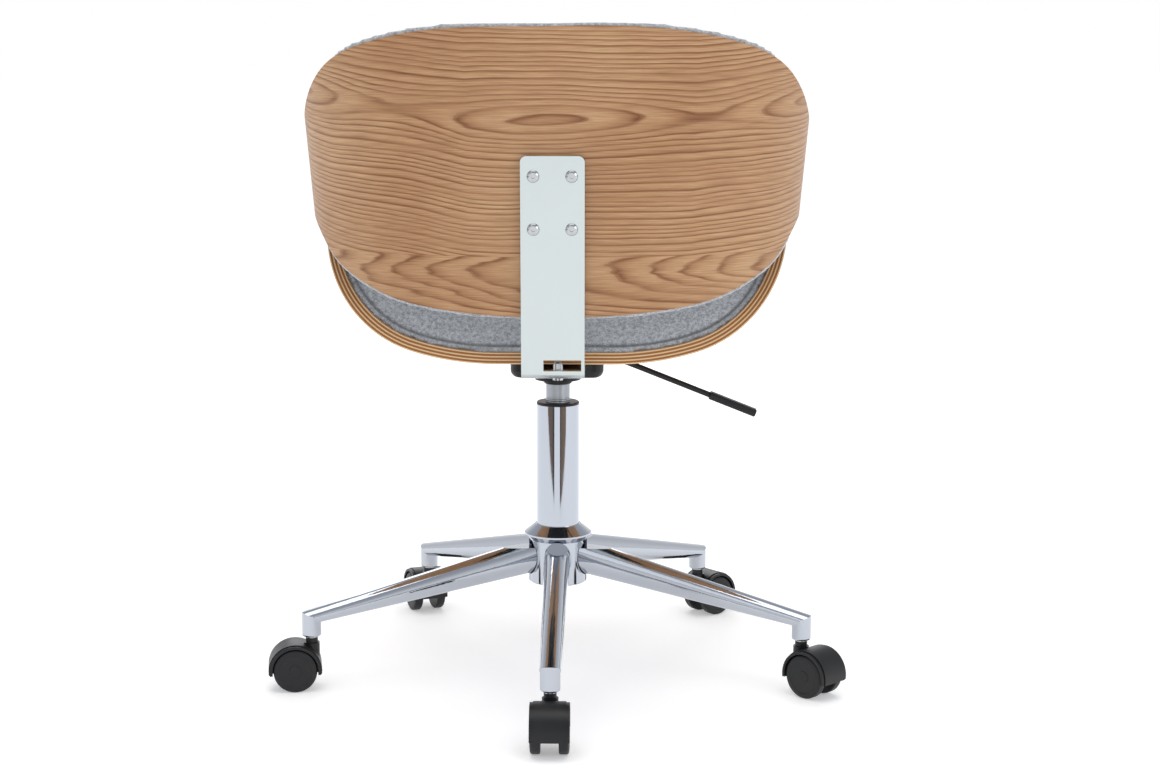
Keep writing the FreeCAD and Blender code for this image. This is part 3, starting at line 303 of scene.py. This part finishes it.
def chrome_bar():
    """Bright chrome on rolled flat bar: flat enough to mirror the pale studio, with faint roller waves."""
    return plated_metal("chrome_plated_bar", "#C4CBCA", 0.14, 0.12)


def zinc_plate():
    """Bright zinc on turned steel: a softer, greyer mirror than chrome."""
    return plated_metal("zinc_plated_turned", "#B9BBBC", 0.16, 0.1)


def ground_steel():
    """Centreless-ground steel: fine rings round the cylinder that blur the highlight."""
    material, tree, shader = new_material("ground_steel", Metallic=1.0, Roughness=0.3,
                                          Base_Color=linear("#9FA3A8"))
    place = add(tree, "TexCoord").outputs["Object"]
    # turning marks are drawn about 2 mm apart, coarser than real so that they show
    rings = add(tree, "TexWave", {"Vector": place, "Scale": 145.0, "Distortion": 0.4},
                bands_direction="Z").outputs[1]
    bump = add(tree, "Bump", {"Height": rings, "Strength": 0.5, "Distance": 0.3 * MM})
    tree.links.new(bump.outputs[0], shader.inputs["Normal"])
    return material


def moulded_black(name, tone, roughness, grit, depth):
    """Moulded or enamelled black: a fine even texture that breaks up the highlight."""
    material, tree, shader = new_material(name, Specular_IOR_Level=0.36)
    place = add(tree, "TexCoord").outputs["Object"]
    grain = add(tree, "TexNoise", {"Vector": place, "Scale": 1.0 / (grit * MM), "Detail": 3.0})
    scuff = add(tree, "TexNoise", {"Vector": place, "Scale": 40.0, "Detail": 6.0})
    shade = add(tree, "Mix", {0: scuff, 6: linear(tone), 7: linear("#1B1C1E")}, data_type="RGBA")
    tree.links.new(shade.outputs[2], shader.inputs["Base Color"])
    rough = add(tree, "Math", [scuff, 0.18, roughness - 0.09], operation="MULTIPLY_ADD")
    tree.links.new(rough.outputs[0], shader.inputs["Roughness"])
    bump = add(tree, "Bump", {"Height": grain, "Strength": 0.3, "Distance": depth * MM})
    tree.links.new(bump.outputs[0], shader.inputs["Normal"])
    return material


def black_enamel():
    """Stove enamel on pressed steel: black, half gloss, with orange peel about 1.5 mm across."""
    return moulded_black("black_enamel_pressed", "#121315", 0.34, 1.5, 0.15)


def hood_nylon():
    """Moulded nylon: black with a spark-eroded grain that spreads the highlight."""
    return moulded_black("black_nylon_moulded", "#0E0F11", 0.4, 0.8, 0.08)


def tread_nylon():
    """Wheel nylon: black, worn a little paler and duller by the floor."""
    return moulded_black("black_nylon_tread", "#151618", 0.46, 1.2, 0.1)


def black_rubber():
    """Moulded rubber: dead black and matt."""
    return moulded_black("black_rubber_moulded", "#0B0B0B", 0.7, 1.0, 0.1)


def worn_boards(name, tone):
    """Oiled floorboards: a dull brown that varies from board to board, 90 mm apart."""
    material, tree, shader = new_material(name, Roughness=0.6)
    place = add(tree, "TexCoord").outputs["Object"]
    board = add(tree, "TexWave", {"Vector": place, "Scale": 3.5, "Distortion": 1.0}).outputs[1]
    dark = [part * 0.7 for part in linear(tone)]
    shade = add(tree, "Mix", {0: board, 6: linear(tone), 7: dark}, data_type="RGBA")
    tree.links.new(shade.outputs[2], shader.inputs["Base Color"])
    return material


def studio_white():
    """A pale seamless studio floor, whose glow grows with distance until it melts into the backdrop."""
    material, tree, shader = new_material("studio_floor", Roughness=0.7, Specular_IOR_Level=0.0,
                                          Emission_Color=linear("#FFFFFF"))
    place = add(tree, "TexCoord").outputs["Object"]
    shade = add(tree, "TexNoise", {"Vector": place, "Scale": 2.0})
    tone = add(tree, "Mix", {0: shade, 6: linear("#F4F4F4"), 7: linear("#F7F7F7")}, data_type="RGBA")
    tree.links.new(tone.outputs[2], shader.inputs["Base Color"])
    away = add(tree, "VectorMath", [place], operation="LENGTH").outputs["Value"]
    glow = add(tree, "Math", [away, 0.05, 0.3], operation="MULTIPLY_ADD")
    glow = add(tree, "Math", [glow, 0.48], operation="MINIMUM")
    tree.links.new(glow.outputs[0], shader.inputs["Emission Strength"])
    return material


# ------------------------------------------------------------------ shapes
def on_back(point):
    """Where a point lies in the back's plywood: along the bend, height, and depth from the rear face."""
    shells = bpy.context.scene.swivel_shells
    wide, side, half = shells.back_centre_bend, shells.back_side_bend, shells.back_half_width
    grow = (point.z - shells.back_mid) * math.tan(shells.back_lean)
    turn = math.asin((half - side) / (wide - side))
    x, y = abs(point.x), point.y - (shells.back_depth - wide)
    corner_x, corner_y = math.sin(turn) * (wide - side), math.cos(turn) * (wide - side)
    angle = math.atan2(x, y)
    sign = 1 if point.x >= 0 else -1
    if angle < turn:
        return Vector((sign * angle * wide, point.z, wide + grow - math.hypot(x, y)))
    dx, dy = x - corner_x, y - corner_y
    if dy > 0:
        angle = math.atan2(dx, dy)
        along = turn * wide + (angle - turn) * side
        return Vector((sign * along, point.z, side + grow - math.hypot(dx, dy)))
    along = turn * wide + (math.pi / 2 - turn) * side - dy
    return Vector((sign * along, point.z, half + grow - x))


def on_seat(point):
    """Where a point lies in the seat's plywood: along the bend, towards the back, and depth from below."""
    shells = bpy.context.scene.swivel_shells
    flat, low = shells.seat_flat, shells.seat_low
    soft, corner = shells.seat_soft_bend, shells.seat_corner_bend
    turn, steep = shells.seat_soft_turn, shells.seat_wing_angle
    x, sign = abs(point.x), 1 if point.x >= 0 else -1
    if x <= flat:
        return Vector((point.x, point.y, point.z - low))
    dx, dz = x - flat, low + soft - point.z
    angle = math.atan2(dx, dz)
    if angle < turn:
        return Vector((sign * (flat + angle * soft), point.y, soft - math.hypot(dx, dz)))
    dx -= math.sin(turn) * (soft - corner)
    dz -= math.cos(turn) * (soft - corner)
    angle = min(math.atan2(dx, dz), steep)
    along = flat + turn * soft + (angle - turn) * corner
    outward = Vector((math.sin(angle), math.cos(angle)))
    off = Vector((dx, dz))
    extra = off.dot(Vector((math.cos(angle), -math.sin(angle))))
    return Vector((sign * (along + extra), point.y, corner - off.dot(outward)))


def stand_in(node, name, body, mesh=None):
    """A piece that stands for a frame node, with its mesh unless another is given."""
    mesh = mesh or NODES[node].data.copy()
    mesh.name = name
    piece = bpy.data.objects.new(name, mesh)
    bpy.context.scene.collection.objects.link(piece)
    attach(piece, body)
    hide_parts(node)
    return piece


def store_vectors(mesh, name, vectors):
    """Stores one vector a vertex under a name."""
    attribute = mesh.attributes.new(name, "FLOAT_VECTOR", "POINT")
    attribute.data.foreach_set("vector", [part for vector in vectors for part in vector])


def store_floats(mesh, name, numbers):
    """Stores one number a vertex under a name."""
    mesh.attributes.new(name, "FLOAT", "POINT").data.foreach_set("value", numbers)


def veneered_shell(node, name, place, plies):
    """A plywood shell whose veneer follows its bend."""
    piece = stand_in(node, name, "seat")
    mesh = piece.data
    spots = [place(v.co) for v in mesh.vertices]
    store_vectors(mesh, "grain", spots)
    store_floats(mesh, "plies", [plies] * len(spots))
    return piece


def baked(piece):
    """The piece's mesh with all its modifiers applied, which are then removed."""
    graph = bpy.context.evaluated_depsgraph_get()
    mesh = bpy.data.meshes.new_from_object(piece.evaluated_get(graph))
    piece.modifiers.clear()
    old, piece.data = piece.data, mesh
    bpy.data.meshes.remove(old)
    mesh.name = piece.name
    return mesh


def stuffed(node, name, place, under):
    """Padding inflated from the node's shape; under is the depth where its glued face lies."""
    cloth = bpy.context.scene.swivel_cloth
    piece = stand_in(node, name, "seat")
    remesh = piece.modifiers.new("Remesh", "REMESH")
    remesh.mode, remesh.voxel_size = "VOXEL", cloth.voxel
    mesh = baked(piece)
    depths = [place(v.co).z - under for v in mesh.vertices]
    loose = piece.vertex_groups.new(name="loose")
    held = piece.vertex_groups.new(name="held")
    for index, depth in enumerate(depths):
        share = min(max((depth - 2 * MM) / (4 * MM), 0.0), 1.0)
        loose.add([index], share, "REPLACE")
        held.add([index], 1.0 - share, "REPLACE")
    smooth = piece.modifiers.new("Smooth", "SMOOTH")
    smooth.factor, smooth.iterations, smooth.vertex_group = 0.5, 9, "loose"
    baked(piece)
    inflate(piece, cloth)
    seated(piece.data, place, under, 1.4 * MM)
    finer = piece.modifiers.new("Subdivision", "SUBSURF")
    finer.levels = finer.render_levels = 1
    mesh = baked(piece)
    for polygon in mesh.polygons:
        polygon.use_smooth = True
    return piece


def seated(mesh, place, under, sink):
    """Presses the padding's glued face a little way onto its plywood, so that no gap shows."""
    mesh.update()
    ways = [vertex.normal.copy() for vertex in mesh.vertices]
    for vertex, way in zip(mesh.vertices, ways):
        depth = place(vertex.co).z - under
        share = min(max(1.0 - (depth - 1 * MM) / (3 * MM), 0.0), 1.0)
        if share and place(vertex.co + way * MM).z < place(vertex.co).z:
            vertex.co += way * sink * share


def inflate(piece, cloth):
    """Cloth simulation under pressure with the glued face held, then capped and applied."""
    start = [v.co.copy() for v in piece.data.vertices]
    modifier = piece.modifiers.new("Cloth", "CLOTH")
    settings = modifier.settings
    settings.quality = 5
    settings.use_pressure, settings.uniform_pressure_force = True, cloth.pressure
    settings.effector_weights.gravity = 0.0
    settings.vertex_group_mass = "held"
    settings.tension_stiffness = settings.compression_stiffness = 25.0
    settings.bending_stiffness = 2.0
    modifier.point_cache.frame_start, modifier.point_cache.frame_end = 1, SWELL_FRAMES
    scene = bpy.context.scene
    for number in range(1, SWELL_FRAMES + 1):
        scene.frame_set(number)
    mesh = baked(piece)
    for vertex, before in zip(mesh.vertices, start):
        move = vertex.co - before
        if move.length > cloth.swell:
            vertex.co = before + move.normalized() * cloth.swell
    scene.frame_set(1)


def sew_seam(mesh, place, under, height, width, depth):
    """Presses a seam round the wall of the padding at a height above its glued face."""
    ways = [vertex.normal.copy() for vertex in mesh.vertices]
    creases = []
    for vertex, way in zip(mesh.vertices, ways):
        off = abs(place(vertex.co).z - under - height) / width
        share = (1.0 - off * off) ** 2 if off < 1 else 0.0
        creases.append(share)
        vertex.co -= way * share * depth
    store_floats(mesh, "seam", creases)


def dress_node(node, material):
    """Gives a frame node its material."""
    mesh = NODES[node].data
    mesh.materials.clear()
    mesh.materials.append(material)


def nodes_like(*starts):
    """Frame nodes whose names begin so."""
    return [node for node in sorted(NODES) if node.startswith(starts)]


# ------------------------------------------------------------------ operators
class SWIVEL_OT_shells(bpy.types.Operator):
    """Veneered plywood shells of the back and the seat"""
    bl_idname = "swivel.shells"
    bl_label = "Plywood shells"

    def execute(self, context):
        wood = ash_plywood()
        shells = context.scene.swivel_shells
        back = veneered_shell("back_shell", "back_shell_veneered", on_back, shells.back_ply / PLIES)
        seat = veneered_shell("seat_shell", "seat_shell_veneered", on_seat, shells.seat_ply / PLIES)
        for piece in (back, seat):
            piece.data.materials.clear()
            piece.data.materials.append(wood)
        return {"FINISHED"}


class SWIVEL_OT_padding(bpy.types.Operator):
    """Wool covered padding of the back and the seat"""
    bl_idname = "swivel.padding"
    bl_label = "Padding"

    def execute(self, context):
        shells, cloth = context.scene.swivel_shells, context.scene.swivel_cloth
        wool = wool_cloth()
        for node, name, place, under in (
                ("seat_cushion", "seat_cushion_wool", on_seat, shells.seat_ply),
                ("back_cushion", "back_cushion_wool", on_back, shells.back_ply)):
            piece = stuffed(node, name, place, under)
            sew_seam(piece.data, place, under, cloth.seam_height, cloth.seam_width, 1.6 * MM)
            piece.data.materials.clear()
            piece.data.materials.append(wool)
        return {"FINISHED"}


class SWIVEL_OT_metal(bpy.types.Operator):
    """Chromed legs and column, plated fasteners, ground cylinder, enamelled mechanism and bracket"""
    bl_idname = "swivel.metal"
    bl_label = "Metalwork"

    def execute(self, context):
        paint(METALWORK)
        return {"FINISHED"}


class SWIVEL_OT_nylon(bpy.types.Operator):
    """Moulded casters, collars and grips"""
    bl_idname = "swivel.nylon"
    bl_label = "Moulded parts"

    def execute(self, context):
        paint(MOULDED)
        return {"FINISHED"}


def paint(finishes):
    """Gives the frame nodes of each finish their material."""
    for make, starts in finishes:
        material = make()
        for node in nodes_like(*starts):
            dress_node(node, material)


METALWORK = (
    (chrome_plate, ("leg_", "star_hub", "outer_tube")),
    (chrome_bar, ("back_bracket",)),
    (zinc_plate, ("back_screws", "back_tee_nuts", "seat_bolts", "bracket_bolts", "seat_tee_nuts",
                  "lever_pivot_pin", "retaining_clip", "lower_race", "upper_race", "bearing_balls",
                  "release_pin") + tuple("caster_%d_stem" % n for n in CASTERS)
     + tuple("caster_%d_axle" % n for n in CASTERS)),
    (ground_steel, ("gas_cylinder", "piston_rod")),
    (black_enamel, ("mechanism_pan", "seat_plate", "lever_bracket", "taper_socket", "lever_rod")),
)
MOULDED = (
    (hood_nylon, ("caster_sleeves", "guide_bush", "rod_guide", "lever_grip")
     + tuple("caster_%d_hood" % n for n in CASTERS)),
    (tread_nylon, tuple("caster_%d_wheel" % n for n in CASTERS)),
    (black_rubber, ("bump_rubber",)),
)


class SWIVEL_OT_stage(bpy.types.Operator):
    """Camera, floor and soft light"""
    bl_idname = "swivel.stage"
    bl_label = "Stage"

    def execute(self, context):
        stage = context.scene.swivel_stage
        lens = bpy.data.cameras.new("camera")
        lens.lens, lens.sensor_width, lens.shift_x = stage.lens, 36.0, stage.shift
        camera = bpy.data.objects.new("camera", lens)
        context.scene.collection.objects.link(camera)
        turn = stage.side_turn
        camera.location = (-stage.distance * math.sin(turn), stage.distance * math.cos(turn),
                           stage.height)
        camera.rotation_euler = (math.pi / 2 - stage.pitch, 0.0, math.pi + turn)
        context.scene.camera = camera
        floor = bpy.data.meshes.new("studio_floor")
        turns = [math.tau * step / 64 for step in range(64)]
        ring = [(math.cos(turn) * FLOOR_RADIUS, math.sin(turn) * FLOOR_RADIUS, 0) for turn in turns]
        floor.from_pydata(ring, [], [range(len(ring))])
        floor.materials.append(studio_white())
        ground = bpy.data.objects.new("studio_floor", floor)
        context.scene.collection.objects.link(ground)
        soft_light("overhead", (0.0, 0.3, 3.4), (0.0, 0.0, 0.3), 2.8, 40)
        soft_light("rear_left", (1.2, 3.2, 2.4), (0.0, 0.0, 0.45), 1.6, 5)
        soft_light("rear_right", (-2.8, 2.2, 1.6), (0.0, 0.0, 0.45), 1.6, 14)
        soft_light("front", (0.3, -3.0, 2.0), (0.0, 0.0, 0.5), 2.0, 26)
        studio_floorboards()
        sky = bpy.data.worlds.new("studio")
        sky.use_nodes = True
        context.scene.world = sky
        tree = sky.node_tree
        way = add(tree, "TexCoord").outputs["Generated"]
        up = add(tree, "SeparateXYZ", [way]).outputs[2]
        tone = add(tree, "ValToRGB", [up], stops=(
            (0.0, "#FFFFFF"), (0.18, "#FAFAFB"), (0.5, "#C9CCD2"), (0.8, "#B4B7BE"), (1.0, "#F0F0F0")))
        background = tree.nodes["Background"]
        tree.links.new(tone.outputs[0], background.inputs["Color"])
        background.inputs["Strength"].default_value = 1.0
        context.scene.view_settings.view_transform = "Standard"
        return {"FINISHED"}


def studio_floorboards():
    """Bare boards and dark sheets beyond the pale floor's edge, painted shade that stands for a gap, which
    only the chrome shows.
    """
    for name, tone, outline in (
            ("boards_left", "#80614A", ((0.5, 0.95), (2.9, 1.2), (7.0, 3.4), (2.4, 5.0))),
            # the two near-black sheets are painted shade: they stand for the shadowed gap and show as dark
            # bands in the chrome
            ("shade_sheet_left", "#1C1A1A", ((0.3, 0.9), (0.5, 0.95), (2.4, 5.0), (1.5, 5.0))),
            ("shade_sheet_right", "#2A2727", ((-0.18, 0.9), (-0.28, 0.9), (-1.6, 5.0), (-1.05, 5.0))),
            ("boards_right", "#8B6C4B", ((-0.28, 0.9), (-1.1, 1.1), (-5.0, 4.6), (-1.6, 5.0)))):
        mesh = bpy.data.meshes.new(name)
        mesh.from_pydata([(x, y, 1 * MM) for x, y in outline], [], [range(4)])
        mesh.materials.append(worn_boards(name, tone))
        boards = bpy.data.objects.new(name, mesh)
        bpy.context.scene.collection.objects.link(boards)
        boards.visible_camera = boards.visible_diffuse = boards.visible_shadow = False


def soft_light(name, place, target, size, power):
    """A square soft box aimed at a point."""
    light = bpy.data.lights.new(name, "AREA")
    light.shape, light.size, light.energy = "SQUARE", size, power
    lamp = bpy.data.objects.new(name, light)
    bpy.context.scene.collection.objects.link(lamp)
    lamp.location = place
    lamp.rotation_euler = (Vector(target) - Vector(place)).to_track_quat("-Z", "Y").to_euler()


class SWIVEL_PT_panel(bpy.types.Panel):
    """Lists the chair's operators in the sidebar"""
    bl_idname = "SWIVEL_PT_panel"
    bl_label = "Swivel Chair"
    bl_space_type = "VIEW_3D"
    bl_region_type = "UI"
    bl_category = "Swivel Chair"

    def draw(self, context):
        for operator in OPERATORS:
            self.layout.operator(operator.bl_idname)


OPERATORS = (SWIVEL_OT_shells, SWIVEL_OT_padding, SWIVEL_OT_metal, SWIVEL_OT_nylon, SWIVEL_OT_stage)
GROUPS = (("swivel_shells", SWIVEL_PG_shells), ("swivel_cloth", SWIVEL_PG_cloth),
          ("swivel_stage", SWIVEL_PG_stage))


def register():
    for kind in [group for _, group in GROUPS] + list(OPERATORS) + [SWIVEL_PT_panel]:
        bpy.utils.register_class(kind)
    for name, group in GROUPS:
        setattr(bpy.types.Scene, name, PointerProperty(type=group))


def unregister():
    for name, _ in GROUPS:
        delattr(bpy.types.Scene, name)
    for kind in [SWIVEL_PT_panel] + list(reversed(OPERATORS)) + [group for _, group in GROUPS]:
        bpy.utils.unregister_class(kind)


def main():
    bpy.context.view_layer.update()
    register()
    for operator in OPERATORS:
        getattr(bpy.ops.swivel, operator.bl_idname.split(".")[1])()


if __name__ == "__main__":
    main()
